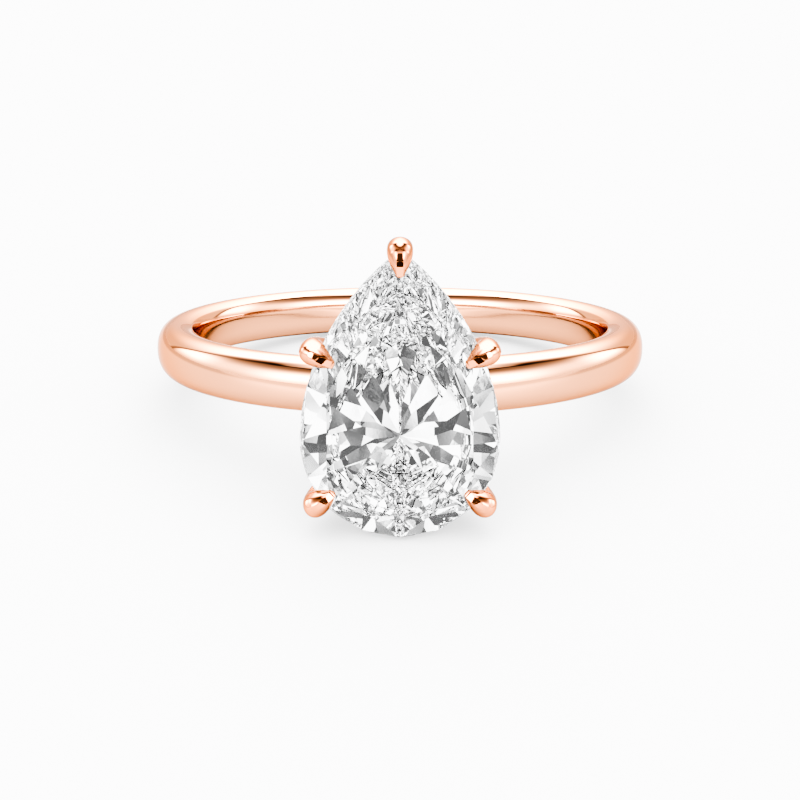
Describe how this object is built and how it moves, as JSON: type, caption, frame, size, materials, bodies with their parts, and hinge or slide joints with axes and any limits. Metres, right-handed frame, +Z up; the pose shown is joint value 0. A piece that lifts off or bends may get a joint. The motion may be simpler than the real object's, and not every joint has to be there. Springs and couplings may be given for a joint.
{
  "type": "engagement ring",
  "caption": "Solitaire ring with a plain rounded band and a pear-shaped stone held by pointed claws over a basket head.",
  "frame": {"origin": "on the surface that the ring lies on, under the middle of its bounding box", "axes": "+Z up from the surface, +X across the ring, -Y from the finger hole out to the stone; the band leans so that the stone's belly and the back of the band both touch the surface"},
  "size_m": [0.02, 0.0246, 0.0103],
  "materials": {
    "rose_gold": "polished rose gold",
    "diamond": "polished facets"
  },
  "bodies": {
    "root": {"shank": "rose_gold", "head_base": "rose_gold", "lower_gallery_rail": "rose_gold", "upper_gallery_rail": "rose_gold", "claw_tip": "rose_gold", "claw_shoulder_left": "rose_gold", "claw_shoulder_right": "rose_gold", "claw_belly_left": "rose_gold", "claw_belly_right": "rose_gold", "diamond": "diamond"}
  },
  "joints": []
}
